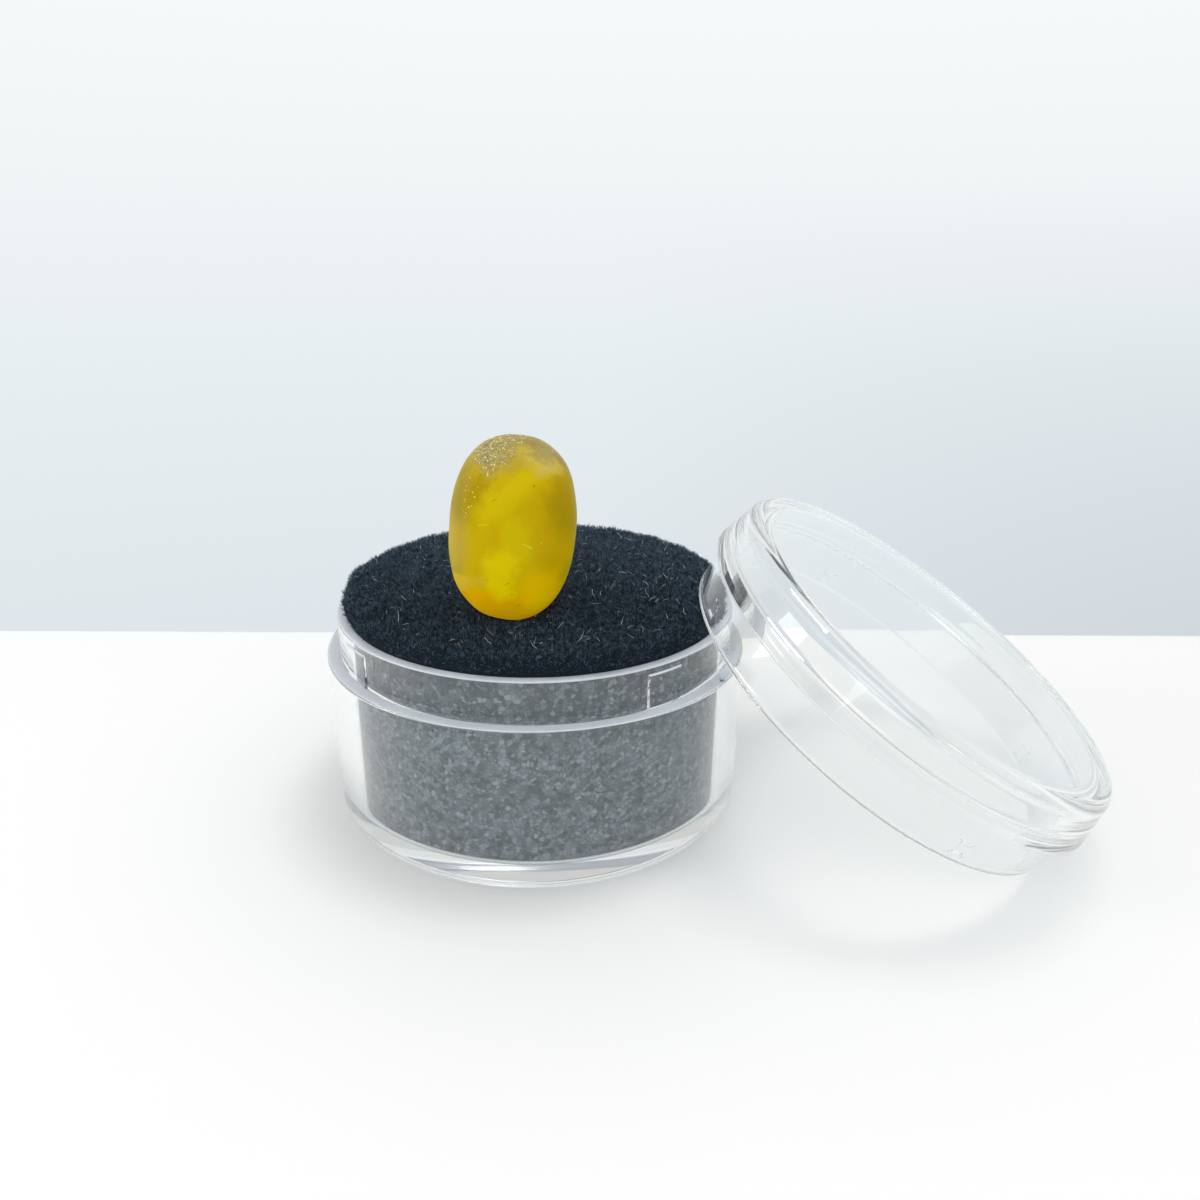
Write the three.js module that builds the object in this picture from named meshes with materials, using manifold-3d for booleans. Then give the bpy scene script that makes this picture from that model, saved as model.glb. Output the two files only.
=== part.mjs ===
// A yellow sapphire pebble standing on end on the flocked foam of its clear round box, with the box's lid
// leaning against the box. Millimetres, +Z up. The origin is the centre of the box's underside.

import * as THREE from 'three';
import Module from 'manifold-3d';
import { mergeVertices } from 'three/addons/utils/BufferGeometryUtils.js';

// The box: a 32 mm round box whose thin neck rises from a ledge.
const BOX_RADIUS = 16;
const LEDGE_HEIGHT = 12.56;
const NECK_RADIUS = 15.07;
const NECK_TOP = 15.6;
const NECK_WALL = 0.77;
const FLOOR_THICKNESS = 1.65;
const FOOT_RADIUS = 14.6;
const SIDE_DRAFT = 0.16;
const LEDGE_EASE = 0.18;
const ROUND_SEGMENTS = 72;

// The snap pads that hold a closed lid: raised on the neck outside, and inside the lid's skirt.
const SNAP_COUNT = 4;
const SNAP_HALF_ANGLE = THREE.MathUtils.degToRad(5.5);
const NECK_SNAP_ANGLE = THREE.MathUtils.degToRad(-52.5);
const NECK_SNAP_PROUD = 0.14;
const NECK_SNAP_BOTTOM = 12.9;
const NECK_SNAP_TOP = 15.1;
const LID_SNAP_ANGLE = THREE.MathUtils.degToRad(-66.5);
const LID_SNAP_HALF_ANGLE = THREE.MathUtils.degToRad(2.2);
const LID_SNAP_PROUD = 0.12;
const LID_SNAP_BOTTOM = 0.25;
const LID_SNAP_TOP = 1.6;

// The lid, upside as it is moulded: its open rim is at height 0 and its top faces +Z.
const SKIRT_INNER_RADIUS = 15.25;
const SKIRT_HEIGHT = 3.35;
const LID_RADIUS = 16.8;
const LID_TOP_RADIUS = 16.2;
const LID_HEIGHT = 7.1;
const LID_CORNER = 0.9;
const CAVITY_RADIUS = 14.9;
const CAVITY_STEP = 4.3;
const CEILING_HEIGHT = 6.1;
const LID_TILT = THREE.MathUtils.degToRad(32.9);
const LID_HEADING = THREE.MathUtils.degToRad(-14.3);
const LID_CENTRE_X = 25.55;
const LID_CENTRE_Y = -3.38;

// The foam that fills the box, and the black flocked pad on it.
const FOAM_BOTTOM_RADIUS = 14.05;
const FOAM_TOP_RADIUS = 14.12;
const FOAM_TOP = 15.3;
const FOAM_EDGE = 0.35;
const PAD_RADIUS = 14.12;
const PILE_RADIUS = 14.55;
const PILE_BOTTOM = 15.8;
const PAD_TOP = 17.05;
const PAD_EDGE = 0.45;
const REST_GAP = 0.3;

// The pebble: a barrel-shaped oval, a little leaning, with worn flats.
const STONE_HALF_WIDTH = 4.33;
const STONE_HALF_DEPTH = 3.6;
const STONE_HALF_HEIGHT = 6.42;
const STONE_FULLNESS = 2.37;
const STONE_LEAN = THREE.MathUtils.degToRad(7.4);
const STONE_CENTRE = new THREE.Vector3(-1.35, -6.4, 23.02);
const STONE_SKEW = -0.032;
const STONE_BULGE = 0.036;
const STONE_AROUND = 44;
const STONE_ALONG = 28;
// Each worn flat is the way it faces and its distance from the stone's centre.
const STONE_FLATS = [
  [-0.62, -0.52, -0.59, 5.18],
  [0.58, -0.42, 0.7, 5.5],
  [-0.36, -0.46, 0.81, 5.7],
  [0.15, -0.99, 0.06, 3.55],
  [-0.2, 0.96, -0.18, 3.7],
  [0.55, 0.6, -0.58, 5.05],
];

const wasm = await Module();
wasm.setup();

// The lid leans with the low side of its rim on the table and the high side over the neck.
const leaning = new THREE.Group();
leaning.rotation.set(0, LID_TILT, LID_HEADING, 'ZYX');
leaning.position.set(LID_CENTRE_X, LID_CENTRE_Y, BOX_RADIUS * Math.sin(LID_TILT));
leaning.updateMatrix();

// Makes a solid of a closed geometry.
function solid(geometry) {
  const bare = geometry.clone();
  bare.deleteAttribute('uv');
  bare.deleteAttribute('normal');
  const merged = mergeVertices(bare, 1e-4);
  return new wasm.Manifold(new wasm.Mesh({
    numProp: 3,
    vertProperties: new Float32Array(merged.attributes.position.array),
    triVerts: new Uint32Array(merged.index.array),
  }));
}

// Turns a solid back into a geometry.
function geometryOf(body) {
  const mesh = body.getMesh();
  const geometry = new THREE.BufferGeometry();
  geometry.setAttribute('position', new THREE.BufferAttribute(mesh.vertProperties, 3));
  geometry.setIndex(new THREE.BufferAttribute(mesh.triVerts, 1));
  geometry.computeVertexNormals();
  return geometry;
}

// Revolves a profile of [radius, height] points around Z.
function turned(profile) {
  const points = profile.map(([radius, height]) => new THREE.Vector2(radius, height));
  return new THREE.LatheGeometry(points, ROUND_SEGMENTS).rotateX(Math.PI / 2);
}

// Points of a quarter round from one angle to another, in degrees.
function arc(radius, height, size, from, to, steps = 3) {
  return Array.from({ length: steps + 1 }, (_, i) => {
    const angle = THREE.MathUtils.degToRad(from + ((to - from) * i) / steps);
    return [radius + size * Math.cos(angle), height + size * Math.sin(angle)];
  });
}

// A curved pad between two radii and two heights, centred on an angle.
function curvedPad(inner, outer, bottom, top, angle, halfAngle) {
  const outline = new THREE.Shape();
  outline.absarc(0, 0, outer, angle - halfAngle, angle + halfAngle, false);
  outline.absarc(0, 0, inner, angle + halfAngle, angle - halfAngle, true);
  outline.closePath();
  const pad = new THREE.ExtrudeGeometry(outline, { depth: top - bottom, bevelEnabled: false, curveSegments: 3 });
  return pad.translate(0, 0, bottom);
}

// Joins the snap pads, spaced evenly around, to a turned body.
function withSnaps(body, makePad) {
  let whole = solid(body);
  for (let i = 0; i < SNAP_COUNT; i += 1) {
    whole = whole.add(solid(makePad((i * 2 * Math.PI) / SNAP_COUNT)));
  }
  return geometryOf(whole);
}

// The cup with its floor, thick side, ledge and thin neck.
function boxBase() {
  const inner = NECK_RADIUS - NECK_WALL;
  const footRound = 1.15;
  const fillet = 0.5;
  const profile = [
    [0, 0],
    [FOOT_RADIUS, 0],
    ...arc(BOX_RADIUS - SIDE_DRAFT - footRound, footRound, footRound, -75, 0),
    [BOX_RADIUS, LEDGE_HEIGHT - LEDGE_EASE],
    [BOX_RADIUS - LEDGE_EASE, LEDGE_HEIGHT],
    [NECK_RADIUS + 0.05, LEDGE_HEIGHT],
    [NECK_RADIUS, LEDGE_HEIGHT + 0.1],
    [NECK_RADIUS, NECK_TOP - LEDGE_EASE],
    [NECK_RADIUS - LEDGE_EASE, NECK_TOP],
    [inner + LEDGE_EASE, NECK_TOP],
    [inner, NECK_TOP - LEDGE_EASE],
    ...arc(inner - 0.1 - fillet, FLOOR_THICKNESS + fillet, fillet, 0, -90),
    [0, FLOOR_THICKNESS],
  ];
  return withSnaps(turned(profile), (turn) => curvedPad(
    NECK_RADIUS - NECK_WALL / 2,
    NECK_RADIUS + NECK_SNAP_PROUD,
    NECK_SNAP_BOTTOM,
    NECK_SNAP_TOP,
    NECK_SNAP_ANGLE + turn,
    SNAP_HALF_ANGLE,
  ));
}

// The lid: a skirt that slips over the neck, a step outwards and a low tapered crown.
function boxLid() {
  const rimEase = 0.2;
  const fillet = 0.6;
  const profile = [
    [0, CEILING_HEIGHT],
    ...arc(CAVITY_RADIUS - 0.15 - fillet, CEILING_HEIGHT - fillet, fillet, 90, 0),
    [CAVITY_RADIUS, CAVITY_STEP + rimEase],
    [CAVITY_RADIUS + rimEase, CAVITY_STEP],
    [SKIRT_INNER_RADIUS, CAVITY_STEP - rimEase],
    [SKIRT_INNER_RADIUS, rimEase],
    [SKIRT_INNER_RADIUS + rimEase, 0],
    [BOX_RADIUS, 0],
    [BOX_RADIUS, SKIRT_HEIGHT - rimEase],
    [BOX_RADIUS + rimEase, SKIRT_HEIGHT],
    [LID_RADIUS - rimEase, SKIRT_HEIGHT],
    [LID_RADIUS, SKIRT_HEIGHT + rimEase],
    ...arc(LID_TOP_RADIUS - LID_CORNER, LID_HEIGHT - LID_CORNER, LID_CORNER, 8, 90),
    [0, LID_HEIGHT],
  ];
  return withSnaps(turned(profile), (turn) => curvedPad(
    SKIRT_INNER_RADIUS - LID_SNAP_PROUD,
    (SKIRT_INNER_RADIUS + BOX_RADIUS) / 2,
    LID_SNAP_BOTTOM,
    LID_SNAP_TOP,
    LID_SNAP_ANGLE + turn,
    LID_SNAP_HALF_ANGLE,
  ));
}

// Distance from the stone's centre to its skin in one direction, plus a clearance.
function stoneReach(way, clearance) {
  const size = [way.x / STONE_HALF_WIDTH, way.y / STONE_HALF_DEPTH, way.z / STONE_HALF_HEIGHT];
  const sum = size.reduce((total, part) => total + Math.abs(part) ** STONE_FULLNESS, 0);
  const reach = sum ** (-1 / STONE_FULLNESS) * (1 + STONE_SKEW * way.x * way.z + STONE_BULGE * way.x);
  const worn = STONE_FLATS.map(([x, y, z, distance]) => {
    const facing = x * way.x + y * way.y + z * way.z;
    return facing > 0 ? distance / facing : Infinity;
  });
  return Math.min(reach, ...worn) + clearance;
}

function pebble(clearance = 0) {
  const geometry = new THREE.SphereGeometry(1, STONE_AROUND, STONE_ALONG).rotateX(Math.PI / 2);
  const position = geometry.attributes.position;
  const way = new THREE.Vector3();
  for (let i = 0; i < position.count; i += 1) {
    way.fromBufferAttribute(position, i).normalize();
    way.multiplyScalar(stoneReach(way, clearance));
    position.setXYZ(i, way.x, way.y, way.z);
  }
  geometry.rotateY(STONE_LEAN);
  geometry.translate(STONE_CENTRE.x, STONE_CENTRE.y, STONE_CENTRE.z);
  return geometryOf(solid(geometry));
}

function foamInsert() {
  return turned([
    [0, FLOOR_THICKNESS],
    [FOAM_BOTTOM_RADIUS - FOAM_EDGE, FLOOR_THICKNESS],
    [FOAM_BOTTOM_RADIUS, FLOOR_THICKNESS + FOAM_EDGE],
    [FOAM_TOP_RADIUS, FOAM_TOP],
    [0, FOAM_TOP],
  ]);
}

// The pile spreads a little over the neck. The pad has a shallow dent under the stone's lower end, and a
// groove where the lid's rim presses it.
function flockedPad() {
  const profile = [
    [0, FOAM_TOP],
    [PAD_RADIUS, FOAM_TOP],
    [PAD_RADIUS, PILE_BOTTOM],
    [PILE_RADIUS, PILE_BOTTOM + 0.15],
    ...arc(PILE_RADIUS - PAD_EDGE, PAD_TOP - PAD_EDGE, PAD_EDGE, 0, 90, 3),
    [0, PAD_TOP],
  ];
  const rim = turned([
    [SKIRT_INNER_RADIUS - REST_GAP, -REST_GAP],
    [BOX_RADIUS + REST_GAP, -REST_GAP],
    [BOX_RADIUS + REST_GAP, SKIRT_HEIGHT],
    [SKIRT_INNER_RADIUS - REST_GAP, SKIRT_HEIGHT],
    [SKIRT_INNER_RADIUS - REST_GAP, -REST_GAP],
  ]).applyMatrix4(leaning.matrix);
  const dented = solid(turned(profile)).subtract(solid(pebble(REST_GAP)));
  return geometryOf(dented.subtract(solid(rim)));
}

function piece(name, geometry, color, roughness, extra = {}) {
  const mesh = new THREE.Mesh(geometry, new THREE.MeshStandardMaterial({ color, roughness, metalness: 0, ...extra }));
  mesh.name = name;
  return mesh;
}

const CLEAR = { transparent: true, opacity: 0.3 };
const part = new THREE.Group();
part.add(piece('sapphire_crystal', pebble(), 0xc9a400, 0.55));
part.add(piece('flocked_pad', flockedPad(), 0x161d24, 1));
part.add(piece('foam_insert', foamInsert(), 0x6a7378, 0.95));
part.add(piece('box_base', boxBase(), 0xe8eef2, 0.08, CLEAR));
leaning.add(piece('box_lid', boxLid(), 0xe8eef2, 0.08, CLEAR));
part.add(leaning);

export default part;
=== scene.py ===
# A frosted yellow sapphire pebble standing on the black flocked pad of its small clear round box,
# with the clear lid leaning against the box. +Z up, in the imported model's frame.
import math

import bmesh
import bpy
import numpy as np
from mathutils import Matrix, Vector, noise


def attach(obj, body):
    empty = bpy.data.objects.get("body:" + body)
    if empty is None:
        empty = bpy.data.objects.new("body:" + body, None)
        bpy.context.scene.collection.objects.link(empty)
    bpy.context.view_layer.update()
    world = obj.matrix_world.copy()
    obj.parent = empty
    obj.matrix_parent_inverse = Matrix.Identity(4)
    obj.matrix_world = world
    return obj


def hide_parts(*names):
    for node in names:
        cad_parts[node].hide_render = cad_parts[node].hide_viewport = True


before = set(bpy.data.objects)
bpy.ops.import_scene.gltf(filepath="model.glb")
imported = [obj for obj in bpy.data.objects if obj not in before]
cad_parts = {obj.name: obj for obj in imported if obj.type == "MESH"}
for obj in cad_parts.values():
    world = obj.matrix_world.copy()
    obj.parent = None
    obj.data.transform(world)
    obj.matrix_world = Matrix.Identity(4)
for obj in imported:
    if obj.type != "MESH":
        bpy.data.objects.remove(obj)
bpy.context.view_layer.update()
MM = 0.001

# Camera
# A camera held just above table height, close to the box and tipped down a little. Its lens and place are
# those that bring the box's ledge, neck and foot onto the photograph's ellipses.
CAMERA_PLACE = Vector((4.8, -69.36, 42.05)) * MM
CAMERA_DOWN = math.radians(21.03)
CAMERA_ROLL = math.radians(0.6)
SENSOR_WIDTH = 36.0
LENS = 28.8

camera_data = bpy.data.cameras.new("camera")
camera_data.sensor_fit = "HORIZONTAL"
camera_data.sensor_width = SENSOR_WIDTH
camera_data.lens = LENS
camera_data.clip_start = 5 * MM
camera_data.clip_end = 5.0
camera = bpy.data.objects.new("camera", camera_data)
camera.matrix_world = (
    Matrix.Translation(CAMERA_PLACE)
    @ Matrix.Rotation(math.pi / 2 - CAMERA_DOWN, 4, "X")
    @ Matrix.Rotation(CAMERA_ROLL, 4, "Z")
)
bpy.context.scene.collection.objects.link(camera)
bpy.context.scene.camera = camera
bpy.context.scene.view_settings.view_transform = "Standard"


# Table top
# A plain white laminate board with a softly rounded far edge just behind the box, where the pale room
# begins. It lies a hair under the box, so that the clear foot and the board never share a face.
TABLE_DROP = -0.04
TABLE_FAR = 31.6
TABLE_TURN = math.radians(0.9)
TABLE_DEPTH = 640.0
TABLE_WIDTH = 1400.0
TABLE_THICKNESS = 20.0
TABLE_EDGE = 2.5
TABLE_WHITE = "FBFCFD"
HARD_CORNER = math.radians(40)


def linear(code):
    """An sRGB hex colour as linear red, green, blue and full alpha."""
    parts = [int(code[i : i + 2], 16) / 255 for i in (0, 2, 4)]
    return tuple(p / 12.92 if p <= 0.04045 else ((p + 0.055) / 1.055) ** 2.4 for p in parts) + (1.0,)


def add_node(tree, kind, links=None, **settings):
    """Adds a shader node, sets its properties or inputs, and links other nodes' outputs into its inputs."""
    node = tree.nodes.new(kind)
    for name, value in settings.items():
        if hasattr(node, name):
            setattr(node, name, value)
        else:
            node.inputs[name.replace("_", " ")].default_value = value
    for name, source in (links or {}).items():
        tree.links.new(source, node.inputs[name])
    return node


def new_material(name, **settings):
    """A material with one Principled shader, and that shader's plain settings."""
    material = bpy.data.materials.new(name)
    material.use_nodes = True
    shader = material.node_tree.nodes["Principled BSDF"]
    for key, value in settings.items():
        shader.inputs[key.replace("_", " ")].default_value = value
    return material, material.node_tree, shader


def add_object(name, shape, *materials):
    """Turns a bmesh in millimetres into a smooth-shaded object, with its hard corners kept sharp."""
    bmesh.ops.scale(shape, vec=(MM, MM, MM), verts=shape.verts)
    mesh = bpy.data.meshes.new(name)
    shape.to_mesh(mesh)
    shape.free()
    for material in materials:
        mesh.materials.append(material)
    mesh.shade_smooth()
    mesh.set_sharp_from_angle(angle=HARD_CORNER)
    obj = bpy.data.objects.new(name, mesh)
    bpy.context.scene.collection.objects.link(obj)
    return obj


table_paint, tree, shader = new_material(
    "white laminate, pressed", Base_Color=linear(TABLE_WHITE), Roughness=0.5
)
table = bmesh.new()
bmesh.ops.create_cube(table, size=1)
bmesh.ops.scale(table, vec=(TABLE_WIDTH, TABLE_DEPTH, TABLE_THICKNESS), verts=table.verts)
bmesh.ops.translate(
    table, vec=(0, TABLE_FAR - TABLE_DEPTH / 2, TABLE_DROP - TABLE_THICKNESS / 2), verts=table.verts
)
far_edge = [e for e in table.edges if all(v.co.y > 0 and v.co.z > -1 for v in e.verts)]
bmesh.ops.bevel(
    table, geom=far_edge, offset=TABLE_EDGE, affect="EDGES", segments=8, profile=0.5, material=-1
)
table_turned = Matrix.Rotation(TABLE_TURN, 3, "Z")
bmesh.ops.rotate(table, cent=(0, TABLE_FAR, 0), matrix=table_turned, verts=table.verts)
add_object("table_top", table, table_paint)


# Room and light
# A pale room lit from all round, a little greyer low down and to the right. One soft panel hangs almost
# straight overhead, a wide weak one lights the front, and one on the left gives the glints in the plastic.
ROOM_LOW = "DEE5EA"
ROOM_MIDDLE = "E6EDF0"
ROOM_HIGH = "F7FAFB"
CEILING = "D4D3D0"
ROOM_RIGHT = "CBD3DA"
# Each panel is its place and size in millimetres and its power in watts.
PANELS = {
    "overhead panel": ((50, 35, 265), 80, 0.15),
    "front panel": ((-60, -300, 230), 260, 0.30),
    "left panel": ((-260, -40, 110), 90, 0.12),
}

world = bpy.data.worlds.new("pale room")
bpy.context.scene.world = world
world.use_nodes = True
room = world.node_tree
direction = add_node(room, "ShaderNodeTexCoord")
split = add_node(room, "ShaderNodeSeparateXYZ", {"Vector": direction.outputs["Generated"]})
height = add_node(room, "ShaderNodeMapRange", {"Value": split.outputs["Z"]}, From_Min=-0.40, From_Max=0.60)
shade = add_node(room, "ShaderNodeValToRGB", {"Fac": height.outputs["Result"]})
shade.color_ramp.elements[0].color = linear(ROOM_LOW)
shade.color_ramp.elements[1].color = linear(CEILING)
shade.color_ramp.elements.new(0.25).color = linear(ROOM_MIDDLE)
shade.color_ramp.elements.new(0.60).color = linear(ROOM_HIGH)
right = add_node(room, "ShaderNodeMapRange", {"Value": split.outputs["X"]}, From_Min=0.0, From_Max=0.6)
low = add_node(room, "ShaderNodeMapRange", {"Value": split.outputs["Z"]}, From_Min=0.05, From_Max=-0.40)
both = add_node(room, "ShaderNodeMath", {0: right.outputs[0], 1: low.outputs[0]}, operation="MULTIPLY")
room_colour = add_node(room, "ShaderNodeMix", {0: both.outputs[0], 6: shade.outputs[0]}, data_type="RGBA")
room_colour.inputs[7].default_value = linear(ROOM_RIGHT)
room.links.new(room_colour.outputs[2], room.nodes["Background"].inputs["Color"])

for name, (place, size, watts) in PANELS.items():
    panel_data = bpy.data.lights.new(name, "AREA")
    panel_data.shape = "SQUARE"
    panel_data.size = size * MM
    panel_data.energy = watts
    panel = bpy.data.objects.new(name, panel_data)
    panel.location = Vector(place) * MM
    panel.rotation_euler = (-Vector(place)).to_track_quat("-Z", "Y").to_euler()
    bpy.context.scene.collection.objects.link(panel)

# Light is led a long way round inside clear plastic before it comes out.
LIGHT_BOUNCES = 28
light_paths = bpy.context.scene.cycles
light_paths.max_bounces = LIGHT_BOUNCES
light_paths.glossy_bounces = LIGHT_BOUNCES
light_paths.transmission_bounces = LIGHT_BOUNCES


# Sapphire pebble
# Corundum, tumbled to a frosted barrel-shaped oval with a few worn flats, a sugary unworn patch at the top
# left and fine pits. It is cloudy inside, so light spreads in it. Its brightness along a slanting yellow
# core and round the foot is partly painted light, laid into its colours and a glow.
STONE_HALVES = Vector((4.33, 3.6, 6.42))
STONE_FULLNESS = 2.37
STONE_LEAN = math.radians(7.4)
STONE_CENTRE = Vector((-1.35, -6.4, 23.02))
STONE_SKEW = -0.032
STONE_BULGE = 0.036
FLAT_BLEND = 0.22
# Each worn flat is the way it faces and its distance from the centre, in millimetres.
STONE_FLATS = (
    ((-0.62, -0.52, -0.59), 5.18),
    ((0.58, -0.42, 0.70), 5.50),
    ((-0.36, -0.46, 0.81), 5.70),
    ((0.15, -0.99, 0.06), 3.55),
    ((-0.20, 0.96, -0.18), 3.70),
    ((0.55, 0.60, -0.58), 5.05),
)
LUMP_HEIGHT = 0.05
LUMP_SIZE = 2.2
GRAIN_HEIGHT = 0.05
GRAIN_SIZE = 0.22
SUGAR_FACING = Vector((-0.26, -0.20, 0.94)).normalized()
SUGAR_FROM = 0.86
SUGAR_OVER = 0.08
CLOUD_STIR = 1.9
SUGAR_WIDTH = 1 / 12
GLINT_FLECK_WIDTH = 1 / 6
GLINT_FLECKS_KEPT = 0.24
FROST_WIDTH = 1 / 8
FOOT_GLOW = 0.46


def smooth_least(a, b, width):
    """The smaller of two values, rounded over where they cross."""
    share = min(max(0.5 + 0.5 * (b - a) / width, 0.0), 1.0)
    return b + (a - b) * share - width * share * (1 - share)


def stone_reach(way):
    """Distance from the stone's centre to its worn skin in one direction."""
    total = sum(abs(part / half) ** STONE_FULLNESS for part, half in zip(way, STONE_HALVES))
    reach = total ** (-1 / STONE_FULLNESS) * (1 + STONE_SKEW * way.x * way.z + STONE_BULGE * way.x)
    for facing, distance in STONE_FLATS:
        towards = way.dot(Vector(facing))
        if towards > 0.2:
            reach = smooth_least(reach, distance / towards, FLAT_BLEND)
    return reach


stone = bmesh.new()
bmesh.ops.create_icosphere(stone, subdivisions=7, radius=1)
lean = Matrix.Rotation(STONE_LEAN, 3, "Y")
for vert in stone.verts:
    way = vert.co.normalized()
    skin = way * stone_reach(way)
    sugar = min(max((way.dot(SUGAR_FACING) - SUGAR_FROM) / SUGAR_OVER, 0.0), 1.0)
    relief = LUMP_HEIGHT * (noise.noise(skin / LUMP_SIZE) - 0.5)
    relief += sugar * GRAIN_HEIGHT * (noise.noise(skin / GRAIN_SIZE) - 0.5)
    vert.co = lean @ (skin + way * relief) + STONE_CENTRE

# The frosting hides all gloss and catches the light along the stone's outline as a thin pale line.
sapphire, tree, shader = new_material(
    "sapphire, tumbled and frosted",
    Roughness=0.45,
    IOR=1.77,
    Specular_IOR_Level=0.02,
    Coat_Weight=0.02,
    Coat_Roughness=0.15,
    Sheen_Weight=0.10,
    Sheen_Roughness=0.2,
    Sheen_Tint=linear("FFEFA8"),
    Subsurface_Weight=1.0,
    Subsurface_Radius=(1.0, 0.8, 0.10),
    Subsurface_Scale=1.3 * MM,
)


def zone(tree, place, centre, halves, turn=0.0, soft=0.4):
    """How far a point is inside an oval region of the stone, from 0 to 1, in millimetres from its centre."""
    oval = add_node(
        tree, "ShaderNodeMapping", {"Vector": place}, vector_type="TEXTURE",
        Location=centre, Rotation=(0, math.radians(turn), 0), Scale=halves,
    )
    away = add_node(tree, "ShaderNodeVectorMath", {0: oval.outputs[0]}, operation="LENGTH")
    step = add_node(
        tree, "ShaderNodeMapRange", {"Value": away.outputs["Value"]},
        interpolation_type="SMOOTHSTEP", From_Min=1 + soft, From_Max=1 - soft,
    )
    return step.outputs["Result"]


def side_of(tree, place, facing, distance, soft):
    """How far a point is past a plane in the stone, from 0 to 1 over a soft width in millimetres."""
    along = add_node(tree, "ShaderNodeVectorMath", {0: place}, operation="DOT_PRODUCT")
    along.inputs[1].default_value = facing
    step = add_node(
        tree, "ShaderNodeMapRange", {"Value": along.outputs["Value"]},
        interpolation_type="SMOOTHSTEP", From_Min=distance - soft, From_Max=distance + soft,
    )
    return step.outputs["Result"]


def combine(tree, operation, first, second):
    """Two shader values put together by a Math node."""
    return add_node(tree, "ShaderNodeMath", {0: first, 1: second}, operation=operation).outputs[0]


def tint(tree, amount, under, over):
    """Lays a colour over another by an amount."""
    mix = add_node(tree, "ShaderNodeMix", {0: amount}, data_type="RGBA")
    for socket, value in ((mix.inputs[6], under), (mix.inputs[7], over)):
        if isinstance(value, str):
            socket.default_value = linear(value)
        else:
            tree.links.new(value, socket)
    return mix.outputs[2]


coords = add_node(tree, "ShaderNodeTexCoord")
in_stone = add_node(
    tree, "ShaderNodeMapping", {"Vector": coords.outputs["Object"]}, vector_type="TEXTURE",
    Location=STONE_CENTRE * MM, Rotation=(0, STONE_LEAN, 0), Scale=(MM, MM, MM),
).outputs[0]
wisps = add_node(tree, "ShaderNodeTexNoise", {"Vector": in_stone}, Scale=0.7, Detail=5.0, Roughness=0.6)
centred = add_node(tree, "ShaderNodeVectorMath", {0: wisps.outputs["Color"]}, operation="SUBTRACT")
centred.inputs[1].default_value = (0.5, 0.5, 0.5)
stir = add_node(
    tree, "ShaderNodeVectorMath", {0: centred.outputs[0], 2: in_stone}, operation="MULTIPLY_ADD"
)
stir.inputs[1].default_value = (CLOUD_STIR,) * 3
cloudy = stir.outputs[0]

# The cloudy body. Each colour is laid over those before it, and places are in millimetres from the stone's
# centre. First the olive on the right and at the upper left, and the pale skin down the left side.
body = tint(tree, side_of(tree, cloudy, (1, 0, 0.05), 2.1, 1.0), "C6AB00", "C0A200")
body = tint(tree, zone(tree, cloudy, (4.3, -1.0, 3.0), (1.9, 5.0, 2.6), 0, 0.4), body, "A68D00")
body = tint(tree, zone(tree, cloudy, (-2.3, -2.8, 2.6), (0.9, 2.5, 1.9), 12, 0.5), body, "AA9200")
body = tint(tree, side_of(tree, cloudy, (-1, 0.12, 0.0), 2.65, 0.6), body, "9A862A")
body = tint(tree, zone(tree, cloudy, (-3.6, -2.0, -1.1), (1.1, 3.0, 1.9), 0, 0.6), body, "B89F36")

# Then the slanting yellow core, the amber foot, and the bright lobe that joins the core to the foot. These
# are the stone's own yellow and amber, painted brighter to stand in for light led out there: partly painted
# light.
body = tint(tree, zone(tree, cloudy, (-0.2, -3.0, 3.2), (2.6, 5.0, 0.9), -47, 0.5), body, "CFB900")
body = tint(tree, side_of(tree, cloudy, (0.128, 0.1, -0.99), 3.15, 0.22), body, "D6A500")
body = tint(tree, zone(tree, cloudy, (2.6, -2.0, -3.1), (1.5, 3.0, 1.6), 0, 0.5), body, "E4BE00")
body = tint(tree, zone(tree, cloudy, (0.6, -3.0, 0.3), (1.0, 4.0, 1.9), -20, 0.5), body, "CFBA00")
body = tint(tree, zone(tree, cloudy, (-0.15, -3.0, -2.2), (1.15, 4.0, 1.8), 0, 0.4), body, "DCC700")

# Last the sharp change at the lower left, and the pale shoulders at the top.
below = side_of(tree, in_stone, (0.128, 0, -0.99), 2.54, 0.06)
outside = side_of(tree, cloudy, (-0.73, 0, 0.68), -0.95, 0.3)
body = tint(tree, combine(tree, "MINIMUM", below, outside), body, "CDAA28")
body = tint(tree, zone(tree, cloudy, (-0.5, -2.0, 5.3), (1.5, 3.0, 0.7), -20, 0.5), body, "B8A333")
body = tint(tree, zone(tree, cloudy, (1.7, -1.6, 5.3), (1.4, 3.0, 0.6), 20, 0.5), body, "C6B254")
body = tint(tree, side_of(tree, cloudy, (0.42, 0.1, 1), 6.0, 0.4), body, "94844A")

# Sugary grains a twelfth of a millimetre wide: a slanting patch at the top left, a small one at the right.
grain = add_node(tree, "ShaderNodeTexVoronoi", {"Vector": in_stone}, Scale=1 / SUGAR_WIDTH)
tones = add_node(tree, "ShaderNodeSeparateColor", {"Color": grain.outputs["Color"]})
sugar_colour = add_node(tree, "ShaderNodeValToRGB", {"Fac": tones.outputs[0]})
sugar_colour.color_ramp.elements[0].color = linear("82764A")
sugar_colour.color_ramp.elements[1].color = linear("CCC298")
sugar_colour.color_ramp.elements.new(0.75).color = linear("A0956A")
above = side_of(tree, cloudy, (-0.768, 0, 0.64), 3.85, 0.5)
patch = combine(tree, "MINIMUM", above, side_of(tree, cloudy, (0.374, 0, 0.928), 3.4, 0.6))
thick = add_node(
    tree, "ShaderNodeMapRange", {"Value": wisps.outputs[0]}, From_Min=0.35, From_Max=0.6, To_Min=0.7
)
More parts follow.
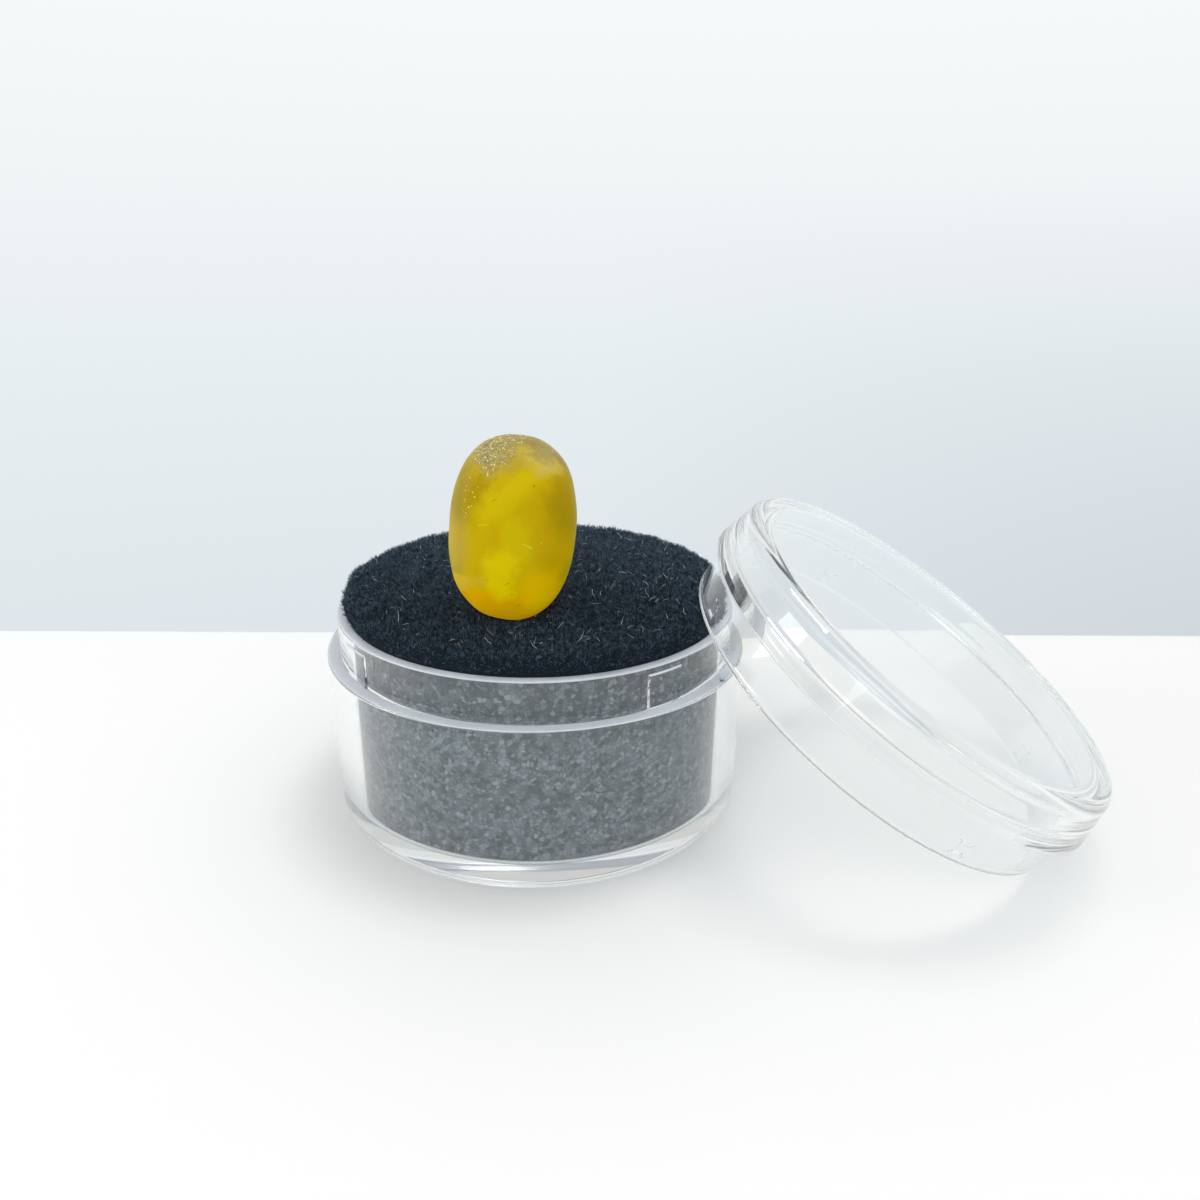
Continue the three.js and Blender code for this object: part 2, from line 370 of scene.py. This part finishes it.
body = tint(tree, combine(tree, "MULTIPLY", patch, thick.outputs[0]), body, sugar_colour.outputs[0])
second = zone(tree, cloudy, (1.9, -0.6, 5.9), (1.0, 1.6, 0.5), 20, 0.5)
second = combine(tree, "MULTIPLY", second, combine(tree, "MULTIPLY", tones.outputs[1], thick.outputs[0]))
body = tint(tree, second, body, "B0A472")

# Painted glints: bright flecks where grains would catch the light, thick in the patch, trailing down the
# left side.
glint_flecks = add_node(tree, "ShaderNodeTexVoronoi", {"Vector": in_stone}, Scale=1 / GLINT_FLECK_WIDTH)
spot = add_node(
    tree, "ShaderNodeMapRange", {"Value": glint_flecks.outputs["Distance"]}, From_Min=0.38, From_Max=0.22
)
pick = add_node(tree, "ShaderNodeSeparateColor", {"Color": glint_flecks.outputs["Color"]})
lively = add_node(tree, "ShaderNodeMath", {0: pick.outputs[0]}, operation="GREATER_THAN")
lively.inputs[1].default_value = 1 - GLINT_FLECKS_KEPT
painted_fleck_glint = combine(tree, "MULTIPLY", spot.outputs[0], lively.outputs[0])
glint_trail = zone(tree, in_stone, (-2.3, -2.6, 3.4), (0.75, 1.6, 2.0), 12, 0.4)
glint_trail = combine(tree, "MULTIPLY", glint_trail, pick.outputs[1])
where = combine(tree, "MAXIMUM", glint_trail, patch)
body = tint(tree, combine(tree, "MULTIPLY", painted_fleck_glint, where), body, "FFF3A0")

# A few lone marks, bright chips and dark pits: each is its place, half sizes, turn and colour.
MARKS = (
    ((1.53, -3.36, -0.06), (0.24, 0.5, 0.05), 25, "E4D444"),
    ((1.20, -3.40, 0.06), (0.10, 0.5, 0.04), 0, "E4D444"),
    ((2.28, -3.21, 0.26), (0.06, 0.5, 0.08), 0, "D8C43C"),
    ((0.60, -3.50, -0.10), (0.12, 0.5, 0.03), -10, "D0C030"),
    ((-1.62, -3.37, 1.02), (0.32, 0.5, 0.03), -14, "DAC83A"),
    ((-1.05, -3.40, 2.75), (0.22, 0.5, 0.02), -40, "9C8600"),
    ((0.36, -3.39, -2.78), (0.20, 0.5, 0.025), -40, "9C8200"),
    ((1.30, -2.83, -4.38), (0.12, 0.6, 0.03), -40, "94720A"),
    ((0.75, -3.20, -3.55), (0.08, 0.6, 0.03), -20, "9C7C00"),
    ((1.35, -2.80, 3.95), (0.05, 0.6, 0.06), 0, "8C7600"),
)
for mark_place, mark_halves, mark_turn, mark_colour in MARKS:
    body = tint(tree, zone(tree, in_stone, mark_place, mark_halves, mark_turn, 0.5), body, mark_colour)
tree.links.new(body, shader.inputs["Base Color"])

# Light that enters above is led down through the clear amber and comes out round the foot. Scattering alone
# can't show that, so a weak glow stands in for it.
along = add_node(tree, "ShaderNodeSeparateXYZ", {"Vector": in_stone})
led = add_node(
    tree, "ShaderNodeMapRange", {"Value": along.outputs["Z"]}, From_Min=-2.4, From_Max=-6.2, To_Max=FOOT_GLOW
)
tree.links.new(body, shader.inputs["Emission Color"])
tree.links.new(led.outputs[0], shader.inputs["Emission Strength"])

# Frosting from the tumbler, drawn an eighth of a millimetre wide, which is as fine as it can show.
frost = add_node(tree, "ShaderNodeTexNoise", {"Vector": in_stone}, Scale=1 / FROST_WIDTH, Detail=3.0)
bump = add_node(tree, "ShaderNodeBump", {"Height": frost.outputs[0]}, Strength=0.25, Distance=0.03 * MM)
tree.links.new(bump.outputs[0], shader.inputs["Normal"])

sapphire_crystal = add_object("sapphire_pebble", stone, sapphire)
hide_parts("sapphire_crystal")
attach(sapphire_crystal, "root")


# Foam insert
# Grey open-cell polyurethane foam, die-cut to a plug that just fills the box. Its cells are about 0.3 mm
# across: each cut one has its own grey, with painted shade in the open gap round it, and a few are
# painted paler as glints where they would catch the light.
FOAM_PROFILE = ((0, 1.68), (13.68, 1.68), (14.04, 2.03), (14.1, 15.28), (0, 15.28))
FOAM_CELL = 0.31
FOAM_DARK = "2D373D"
FOAM_PALE = "6A777E"
FOAM_PAINTED_GLINT = "8D9AA1"
FOAM_PORE_SHADE = "273037"
FOAM_PATCH = 1.1
SHADE_FROM = 10.5
SHADE_FULL = 13.5
SHADE_DEPTH = 0.5


def spin(profile, steps):
    """Revolves a profile of radius and height points around the Z axis into a closed shell."""
    shell = bmesh.new()
    verts = [shell.verts.new((radius, 0, height)) for radius, height in profile]
    edges = [shell.edges.new(pair) for pair in zip(verts, verts[1:])]
    bmesh.ops.spin(
        shell, geom=verts + edges, cent=(0, 0, 0), axis=(0, 0, 1),
        angle=2 * math.pi, steps=steps, use_merge=True,
    )
    bmesh.ops.remove_doubles(shell, verts=shell.verts, dist=1e-4)
    bmesh.ops.recalc_face_normals(shell, faces=shell.faces)
    return shell


foam = spin(FOAM_PROFILE, 180)
foam_stuff, tree, shader = new_material("polyurethane foam, die-cut", Roughness=0.95)
coords = add_node(tree, "ShaderNodeTexCoord")
cells = add_node(
    tree, "ShaderNodeTexVoronoi", {"Vector": coords.outputs["Object"]}, Scale=1 / (FOAM_CELL * MM)
)
tone = add_node(tree, "ShaderNodeSeparateColor", {"Color": cells.outputs["Color"]})
fine = add_node(tree, "ShaderNodeTexNoise", {"Vector": coords.outputs["Object"]}, Scale=9 / MM, Detail=1.0)
patches = add_node(
    tree, "ShaderNodeTexNoise", {"Vector": coords.outputs["Object"]}, Scale=1 / (FOAM_PATCH * MM), Detail=3.0
)
patchy = add_node(
    tree, "ShaderNodeMapRange", {"Value": patches.outputs[0]},
    From_Min=0.3, From_Max=0.7, To_Min=-0.35, To_Max=0.35,
)
stirred = combine(tree, "ADD", tone.outputs[0], fine.outputs[0])
stirred = combine(tree, "ADD", stirred, patchy.outputs[0])

# The neck and the pad shade the top of the foam. That is painted on, so it stays in any light.
level = add_node(tree, "ShaderNodeSeparateXYZ", {"Vector": coords.outputs["Object"]})
shaded = add_node(
    tree, "ShaderNodeMapRange", {"Value": level.outputs["Z"]},
    From_Min=SHADE_FROM * MM, From_Max=SHADE_FULL * MM, To_Max=SHADE_DEPTH,
)
stirred = combine(tree, "SUBTRACT", stirred, shaded.outputs[0])
spread = add_node(tree, "ShaderNodeMapRange", {"Value": stirred}, From_Min=0.45, From_Max=1.55)
greys = add_node(tree, "ShaderNodeValToRGB", {"Fac": spread.outputs[0]})
greys.color_ramp.elements[0].color = linear(FOAM_DARK)
greys.color_ramp.elements[1].color = linear(FOAM_PALE)
edges = add_node(
    tree, "ShaderNodeTexVoronoi", {"Vector": coords.outputs["Object"]}, feature="DISTANCE_TO_EDGE",
    Scale=1 / (FOAM_CELL * MM),
)
# Painted shade: the gaps between the cells, where shade falls in the open pores, are painted dark.
painted_pore_shade = add_node(
    tree, "ShaderNodeMapRange", {"Value": edges.outputs["Distance"]},
    From_Min=0.09, From_Max=0.02, To_Max=0.7,
)
# Painted glints: a few cells are painted paler, as if they caught the light.
painted_cell_glint = add_node(
    tree, "ShaderNodeMapRange", {"Value": tone.outputs[2]}, From_Min=0.7, From_Max=1.0, To_Max=0.55
)
with_painted_glints = tint(tree, painted_cell_glint.outputs[0], greys.outputs["Color"], FOAM_PAINTED_GLINT)
tree.links.new(tint(tree, painted_pore_shade.outputs[0], with_painted_glints, FOAM_PORE_SHADE), shader.inputs["Base Color"])
foam_insert = add_object("foam_plug", foam, foam_stuff)
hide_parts("foam_insert")
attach(foam_insert, "root")


# Flocked pad
# A disc of foam sheet, its top glued and flocked, with its cut edge rounded over and a little uneven. The
# sheet only shows as dark clumps between the fibres. The stone's foot and the lid's rim press it down.
SHEET_RADIUS = 13.8
SHEET_TOP = 16.7
SHEET_RISE = 0.5
SHEET_ROUND = (0.68, 0.8)
SHEET_CLUMP = 0.06
SHEET_CLUMP_SIZE = 0.8
SHEET_SCALLOP = 0.16
SHEET_BOTTOM = 15.3
ABOVE_NECK = 15.7
SHEET_BLACK = "151F28"
EDGE_FROM = 11.5
EDGE_OVER = 2.0
STONE_FOOT = (-2.17, -6.4)
FOOT_HALVES = (1.9, 1.6)
FOOT_DENT = 0.42
RIM_DENT = 0.25
# The lid's rim plane, which the pad stays under: its lean, the way it points and its centre.
LID_TILT = math.radians(32.9)
LID_HEADING = math.radians(-14.3)
LID_RADIUS = 16.0
LID_CENTRE = Vector((25.55, -3.38, LID_RADIUS * math.sin(LID_TILT)))
lid_matrix = (
    Matrix.Translation(LID_CENTRE)
    @ Matrix.Rotation(LID_HEADING, 4, "Z")
    @ Matrix.Rotation(LID_TILT, 4, "Y")
)
rim_facing = lid_matrix.to_3x3() @ Vector((0, 0, 1))

sheet_profile = [(0, SHEET_BOTTOM), (14.08, SHEET_BOTTOM)]
for step in range(7):
    turn = math.radians(90 * step / 6)
    sheet_profile.append(
        (SHEET_RADIUS + SHEET_ROUND[0] * math.cos(turn), SHEET_TOP + SHEET_ROUND[1] * (math.sin(turn) - 1))
    )
sheet_profile += [(radius, SHEET_TOP) for radius in np.linspace(SHEET_RADIUS - 0.3, 0, 48)]
sheet = spin(sheet_profile, 220)


def scallop(x, y):
    """How far the pad's uneven edge stands in or out at a place round it, in millimetres."""
    around = Vector((x, y, 0)).normalized() * 6
    return SHEET_SCALLOP * (noise.noise(around) + 0.4 * noise.noise(around * 2.5))


def bedded(x, y, height):
    """A height on the pad: higher at the back, pressed down under the stone's foot and the lid's rim."""
    back = min(max((y + 10) / 10, 0.0), 1.0)
    near = ((x - STONE_FOOT[0]) / FOOT_HALVES[0]) ** 2 + ((y - STONE_FOOT[1]) / FOOT_HALVES[1]) ** 2
    height += SHEET_RISE * back * back * (3 - 2 * back) - FOOT_DENT * math.exp(-near)
    under_rim = LID_CENTRE.z - rim_facing.xy.dot(Vector((x, y)) - LID_CENTRE.xy) / rim_facing.z
    return smooth_least(height, under_rim - RIM_DENT, 0.4)


for vert in sheet.verts:
    if vert.co.z > ABOVE_NECK:
        edge = min(max((math.hypot(vert.co.x, vert.co.y) - EDGE_FROM) / EDGE_OVER, 0.0), 1.0)
        clump = SHEET_CLUMP * noise.noise(vert.co / SHEET_CLUMP_SIZE)
        vert.co.z = bedded(vert.co.x, vert.co.y, vert.co.z) + clump
        vert.co.z += edge * 0.5 * scallop(vert.co.x, vert.co.y)
        vert.co.xy *= 1 + edge * scallop(vert.co.x, vert.co.y) / 14
flock, tree, shader = new_material(
    "nylon flock, black", Base_Color=linear(SHEET_BLACK), Roughness=0.95, Specular_IOR_Level=0.1
)
flocked_pad = add_object("flocked_sheet", sheet, flock)
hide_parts("flocked_pad")
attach(flocked_pad, "root")


# Flock pile
# Cut nylon fibres up to about half a millimetre long, shot into the glue. They lean together in soft clumps,
# reach over the neck at the edge and are pressed down round the stone's foot and under the lid's rim.
PILE_FIBRES = 64000
PILE_LENGTH = 0.46
PILE_WIDTH = 0.05
PILE_CLUMP = 0.7
PILE_MOTTLE = 0.35
PILE_BLACK = "111B24"
PILE_PALE = "566A7C"
EDGE_SHARE = 0.14
SKIRT_CLEAR = (15.15, 16.1)
RIM_CLEAR = -0.05

rng = np.random.default_rng(7)


def on_sheet(count):
    """Random points spread evenly over the flocked sheet, and the way the sheet faces at each."""
    edge = rng.random(count) < EDGE_SHARE
    radius = np.where(edge, SHEET_RADIUS, SHEET_RADIUS * np.sqrt(rng.random(count)))
    around = rng.random(count) * 2 * math.pi
    over = np.where(edge, rng.random(count) * math.pi / 2, math.pi / 2)
    radius = radius + SHEET_ROUND[0] * np.cos(over) * edge
    height = SHEET_TOP + SHEET_ROUND[1] * (np.sin(over) - 1)
    stand = np.array([scallop(math.cos(t), math.sin(t)) for t in around])
    stand *= np.clip((radius - EDGE_FROM) / EDGE_OVER, 0, 1)
    radius, height = radius + stand, height + 0.5 * stand
    spots = zip(radius * np.cos(around), radius * np.sin(around), height)
    height = np.array([bedded(*spot) for spot in spots])
    point = np.stack([radius * np.cos(around), radius * np.sin(around), height], 1)
    outward = np.stack([np.cos(around) * np.cos(over), np.sin(around) * np.cos(over), np.sin(over)], 1)
    return point, outward


def lay_fibres(name, root, way, length, width, bends, material):
    """One mesh of flat tapered fibres, each a chain of bends that ends in a point."""
    count = len(root)
    turn = rng.random(count) * 2 * math.pi
    side = np.stack([np.cos(turn), np.sin(turn), rng.normal(0, 0.3, count)], 1)
    side *= (width / 2 / np.linalg.norm(side, axis=1))[:, None]
    curl = rng.normal(0, 1, (count, 3)) * 0.28
    spine = [root]
    for bend in range(bends):
        way = way + curl
        way = way / np.linalg.norm(way, axis=1)[:, None]
        spine.append(spine[-1] + way * (length / bends)[:, None])
    rows = []
    for bend, points in enumerate(spine[:-1]):
        taper = 1 - 0.35 * bend / bends
        rows += [points - side * taper, points + side * taper]
    rows.append(spine[-1])
    points = np.stack(rows, 1)
    start = np.arange(count)[:, None] * (2 * bends + 1)
    faces = []
    for bend in range(bends - 1):
        corner = 2 * bend
        faces += np.concatenate([start + corner + k for k in (0, 1, 3, 2)], 1).tolist()
    last = 2 * (bends - 1)
    faces += np.concatenate([start + last + k for k in (0, 1, 2)], 1).tolist()
    mesh = bpy.data.meshes.new(name)
    mesh.from_pydata((points.reshape(-1, 3) * MM).tolist(), [], faces)
    mesh.materials.append(material)
    obj = bpy.data.objects.new(name, mesh)
    bpy.context.scene.collection.objects.link(obj)
    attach(obj, "root")
    return obj


def clear_of_neighbours(point):
    """True for the points that are neither in the lid's skirt nor in the stone."""
    in_lid = np.array(lid_matrix.inverted()) @ np.vstack([point.T, np.ones(len(point))])
    from_axis = np.hypot(in_lid[0], in_lid[1])
    in_skirt = (from_axis > SKIRT_CLEAR[0]) & (from_axis < SKIRT_CLEAR[1]) & (in_lid[2] > RIM_CLEAR)
    in_stone = np.abs((point - np.array(STONE_CENTRE)) @ np.array(lean)) / np.array(STONE_HALVES)
    return ~in_skirt & ((in_stone ** STONE_FULLNESS).sum(1) > 1.0)


root, outward = on_sheet(PILE_FIBRES)
swirl = np.array([[noise.noise(Vector((x, y, k)) / PILE_CLUMP) for k in (0, 9, 21)] for x, y, _ in root])
astray = rng.normal(0, 0.45, (PILE_FIBRES, 3)) * (1, 1, 0.4)
way = outward + np.array((0, 0, 0.2)) + swirl * (1.0, 1.0, 0.2) + astray
way[:, 2] = np.maximum(way[:, 2], 0.12)
way /= np.linalg.norm(way, axis=1)[:, None]
length = PILE_LENGTH * rng.uniform(0.6, 1.0, PILE_FIBRES) * (0.9 + 0.4 * (swirl[:, 2] - 0.1))

# A fibre whose tip or middle would touch the lid or the stone is cut short, and left out if it still does.
keep = clear_of_neighbours(root)
for part in (1.05, 0.5):
    length[~clear_of_neighbours(root + way * length[:, None] * part)] *= 0.4
keep &= clear_of_neighbours(root + way * length[:, None])
fibre, tree, shader = new_material("nylon fibre, black", Roughness=0.7, Specular_IOR_Level=0.12)
coords = add_node(tree, "ShaderNodeTexCoord")
fine = add_node(
    tree, "ShaderNodeTexNoise", {"Vector": coords.outputs["Object"]},
    Scale=1 / (PILE_MOTTLE * MM), Detail=4.0,
)

# From the front, the pile's sheen makes it look paler towards the back of the pad. That is painted on, so it
# doesn't turn with the view as sheen does.
across = add_node(tree, "ShaderNodeSeparateXYZ", {"Vector": coords.outputs["Object"]})
paler = add_node(
    tree, "ShaderNodeMapRange", {"Value": across.outputs["Y"]},
    From_Min=-8 * MM, From_Max=14 * MM, To_Max=0.18,
)
mottle_and_painted_sheen = combine(tree, "ADD", fine.outputs[0], paler.outputs[0])
blacks = add_node(tree, "ShaderNodeValToRGB", {"Fac": mottle_and_painted_sheen})
blacks.color_ramp.elements[0].position = 0.35
blacks.color_ramp.elements[0].color = linear(PILE_BLACK)
blacks.color_ramp.elements[1].position = 0.70
blacks.color_ramp.elements[1].color = linear(PILE_PALE)
tree.links.new(blacks.outputs[0], shader.inputs["Base Color"])
lay_fibres("flock_pile", root[keep], way[keep], length[keep], PILE_WIDTH, 2, fibre)

# Fine pale lint caught on the pile, and a few crumbs of dust.
LINT_FIBRES = 460
LINT_WIDTH = 0.022
LINT_LIFT = 0.40
LINT_RADIUS = 13.6
CRUMBS = 34
CRUMB_WIDTH = 0.08
root, outward = on_sheet(LINT_FIBRES + CRUMBS)
root[:, 2] += LINT_LIFT
way = rng.normal(0, 1, (LINT_FIBRES + CRUMBS, 3)) * (1, 1, 0.12)
way /= np.linalg.norm(way, axis=1)[:, None]
length = rng.uniform(0.25, 0.9, LINT_FIBRES + CRUMBS)
keep = clear_of_neighbours(root + way) & clear_of_neighbours(root)
keep &= np.hypot(root[:, 0], root[:, 1]) < LINT_RADIUS
threads = keep & (np.arange(LINT_FIBRES + CRUMBS) < LINT_FIBRES)
crumbs = keep & ~threads
stray, tree, shader = new_material("cotton lint, pale", Base_Color=linear("DAE2E8"), Roughness=0.8)
lay_fibres("stray_lint", root[threads], way[threads], length[threads], LINT_WIDTH, 5, stray)
lay_fibres("dust_crumbs", root[crumbs], way[crumbs], length[crumbs] * 0.13, CRUMB_WIDTH, 2, stray)

# A tuft of black pile that has dropped on the ledge.
TUFT_FIBRES = 26
TUFT_PLACE = (13.4, -8.45, 12.62)
TUFT_WIDTH = 0.03
root = np.array(TUFT_PLACE) + rng.normal(0, 0.05, (TUFT_FIBRES, 3)) * (1, 1, 0.3)
way = rng.normal(0, 1, (TUFT_FIBRES, 3)) * (1, 1, 0.3)
way[:, 2] = np.abs(way[:, 2])
way /= np.linalg.norm(way, axis=1)[:, None]
lay_fibres("lint_tuft", root, way, rng.uniform(0.15, 0.6, TUFT_FIBRES), TUFT_WIDTH, 3, fibre)


# Box base
# Clear polystyrene, injection moulded: a thick side on a flat foot, a ledge, and a thin neck with four
# raised snap pads. Polished tool steel leaves it glassy; the ledge and the neck's top edge are a pale satin,
# which is partly painted light: it stands in for light that the clear plastic leads round and lets out
# there.
BASE_SNAP_ANGLES = (-58, -47)
BASE_SNAP_HEIGHTS = (12.62, 15.1)
BASE_SNAP_PROUD = 0.12
BASE_SNAP_SLOPE = 0.11
NECK_RADIUS = 15.07
LEDGE_TOP = 12.56
FLOOR_TOP = 1.65


def let_light_through(tree, shader, loss, shade):
    """Lets light reach and leave matt pieces straight through the plastic, losing a little at each face."""
    path = add_node(tree, "ShaderNodeLightPath")
    through = shader.outputs[0]
    for kind, colour in (("Is Diffuse Ray", loss), ("Is Shadow Ray", shade)):
        straight = add_node(tree, "ShaderNodeBsdfTransparent", Color=linear(colour))
        links = {0: path.outputs[kind], 1: through, 2: straight.outputs[0]}
        through = add_node(tree, "ShaderNodeMixShader", links).outputs[0]
    tree.links.new(through, tree.nodes["Material Output"].inputs["Surface"])


def clear_plastic(name, shade):
    """Clear polystyrene, glassy, with faint smudges a few millimetres across."""
    material, tree, shader = new_material(
        name, Base_Color=linear("FAFCFC"), IOR=1.59, Transmission_Weight=1.0
    )
    coords = add_node(tree, "ShaderNodeTexCoord")
    smudges = add_node(
        tree, "ShaderNodeTexNoise", {"Vector": coords.outputs["Object"]}, Scale=0.25 / MM, Detail=4.0
    )
    polish = add_node(
        tree, "ShaderNodeMapRange", {"Value": smudges.outputs[0]},
        From_Min=0.4, From_Max=0.7, To_Min=0.0, To_Max=0.035,
    )
    tree.links.new(polish.outputs[0], shader.inputs["Roughness"])
    let_light_through(tree, shader, "FBFCFC", shade)
    return material


clear = clear_plastic("polystyrene, clear, injection moulded", "F8FAFA")
thick_edge = clear_plastic("polystyrene, clear, curved edge", "C6CDD1")
# Pale satin: partly its finish, partly painted light for the light led out of the plastic there.
satin_and_painted_light, tree, shader = new_material(
    "polystyrene, clear, satin edge",
    Base_Color=linear("E9EFF9"),
    Roughness=0.35,
    IOR=1.59,
    Transmission_Weight=0.45,
)
let_light_through(tree, shader, "F4F6F7", "E4E8EA")


def quarter(radius, height, size, start, end, steps=6):
    """Points of a rounded edge, from one angle to another in degrees."""
    turns = [math.radians(start + (end - start) * i / steps) for i in range(steps + 1)]
    return [(radius + size * math.cos(t), height + size * math.sin(t)) for t in turns]


def held(profile, gap=0.04):
    """The profile with a point near each end of its long straights, so that they shade as straight."""
    points = [profile[0]]
    for start, end in zip(profile, profile[1:]):
        run = math.dist(start, end)
        if run > 0.3:
            for part in (gap / run, 1 - gap / run):
                points.append(tuple(a + (b - a) * part for a, b in zip(start, end)))
        points.append(end)
    return points


def raise_snaps(shell, angles, heights, near_radius, proud, width):
    """Raises a snap pad in each quarter of the round, out of the faces between two angles and heights."""
    for corner in range(4):
        chosen = []
        for face in shell.faces:
            centre = face.calc_center_median()
            around = (math.degrees(math.atan2(centre.y, centre.x)) - 90 * corner + 180) % 360 - 180
            if (
                angles[0] < around < angles[1]
                and heights[0] < centre.z < heights[1]
                and abs(math.hypot(centre.x, centre.y) - near_radius) < 0.1
            ):
                chosen.append(face)
        bmesh.ops.inset_region(
            shell, faces=chosen, thickness=width, depth=proud, use_boundary=True, use_even_offset=True
        )


base_profile = [(0, 0), (14.6, 0)]
base_profile += quarter(14.69, 1.15, 1.15, -75, 0, 8)
base_profile += quarter(15.82, 12.38, 0.18, 0, 90, 4)
base_profile += [(15.12, LEDGE_TOP), (NECK_RADIUS, 12.62), (NECK_RADIUS, 12.9), (NECK_RADIUS, 15.1)]
base_profile += quarter(14.92, 15.45, 0.15, 0, 90, 4)
base_profile += quarter(14.45, 15.45, 0.15, 90, 180, 4)
base_profile += quarter(13.7, 2.15, 0.5, 0, -90)
base_profile += [(0, FLOOR_TOP)]
base = spin(held(base_profile), 360)
raise_snaps(base, BASE_SNAP_ANGLES, BASE_SNAP_HEIGHTS, NECK_RADIUS, BASE_SNAP_PROUD, BASE_SNAP_SLOPE)

# The neck's rounded top edge and the flat of the ledge are the satin faces, pale partly as painted light.
for face in base.faces:
    centre = face.calc_center_median()
    radius = math.hypot(centre.x, centre.y)
    if centre.z > 15.5 or (centre.z > 12.5 and radius > 15.1 and abs(face.normal.z) > 0.7):
        face.material_index = 1
box_base = add_object("clear_base", base, clear, satin_and_painted_light)
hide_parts("box_base")
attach(box_base, "root")


# Box lid
# The same polystyrene: a skirt that slips over the neck, a step outwards and a low tapered crown, with
# small snap pads inside the skirt. It leans with the low side of its rim on the table.
LID_SNAP_ANGLES = (-69, -64)
LID_SNAP_HEIGHTS = (0.4, 1.6)
LID_SNAP_PROUD = 0.035
LID_SNAP_SLOPE = 0.3
SKIRT_INSIDE = 15.25
THICK_FROM = 14.4

lid_profile = [(0, 6.1)]
lid_profile += quarter(14.15, 5.5, 0.6, 90, 0)
lid_profile += [(14.9, 4.5), (15.0, 4.3), (15.2, 4.24)]
lid_profile += [(SKIRT_INSIDE, 4.1), (SKIRT_INSIDE, 1.6), (SKIRT_INSIDE, 0.4)]
lid_profile += quarter(15.45, 0.2, 0.2, 180, 270, 4)
lid_profile += quarter(15.85, 0.15, 0.15, -90, 0, 4)
lid_profile += quarter(16.2, 3.15, 0.2, 180, 90, 4)
lid_profile += quarter(16.6, 3.55, 0.2, -90, 0, 4)
lid_profile += quarter(15.3, 6.2, 0.9, 8, 90, 8)
lid_profile += [(0, 7.1)]
lid = spin(held(lid_profile), 360)
raise_snaps(lid, LID_SNAP_ANGLES, LID_SNAP_HEIGHTS, SKIRT_INSIDE, LID_SNAP_PROUD, LID_SNAP_SLOPE)
for face in lid.faces:
    centre = face.calc_center_median()
    face.material_index = int(math.hypot(centre.x, centre.y) > THICK_FROM)
bmesh.ops.transform(lid, matrix=lid_matrix, verts=lid.verts)
box_lid = add_object("clear_lid", lid, clear, thick_edge)
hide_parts("box_lid")
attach(box_lid, "root")
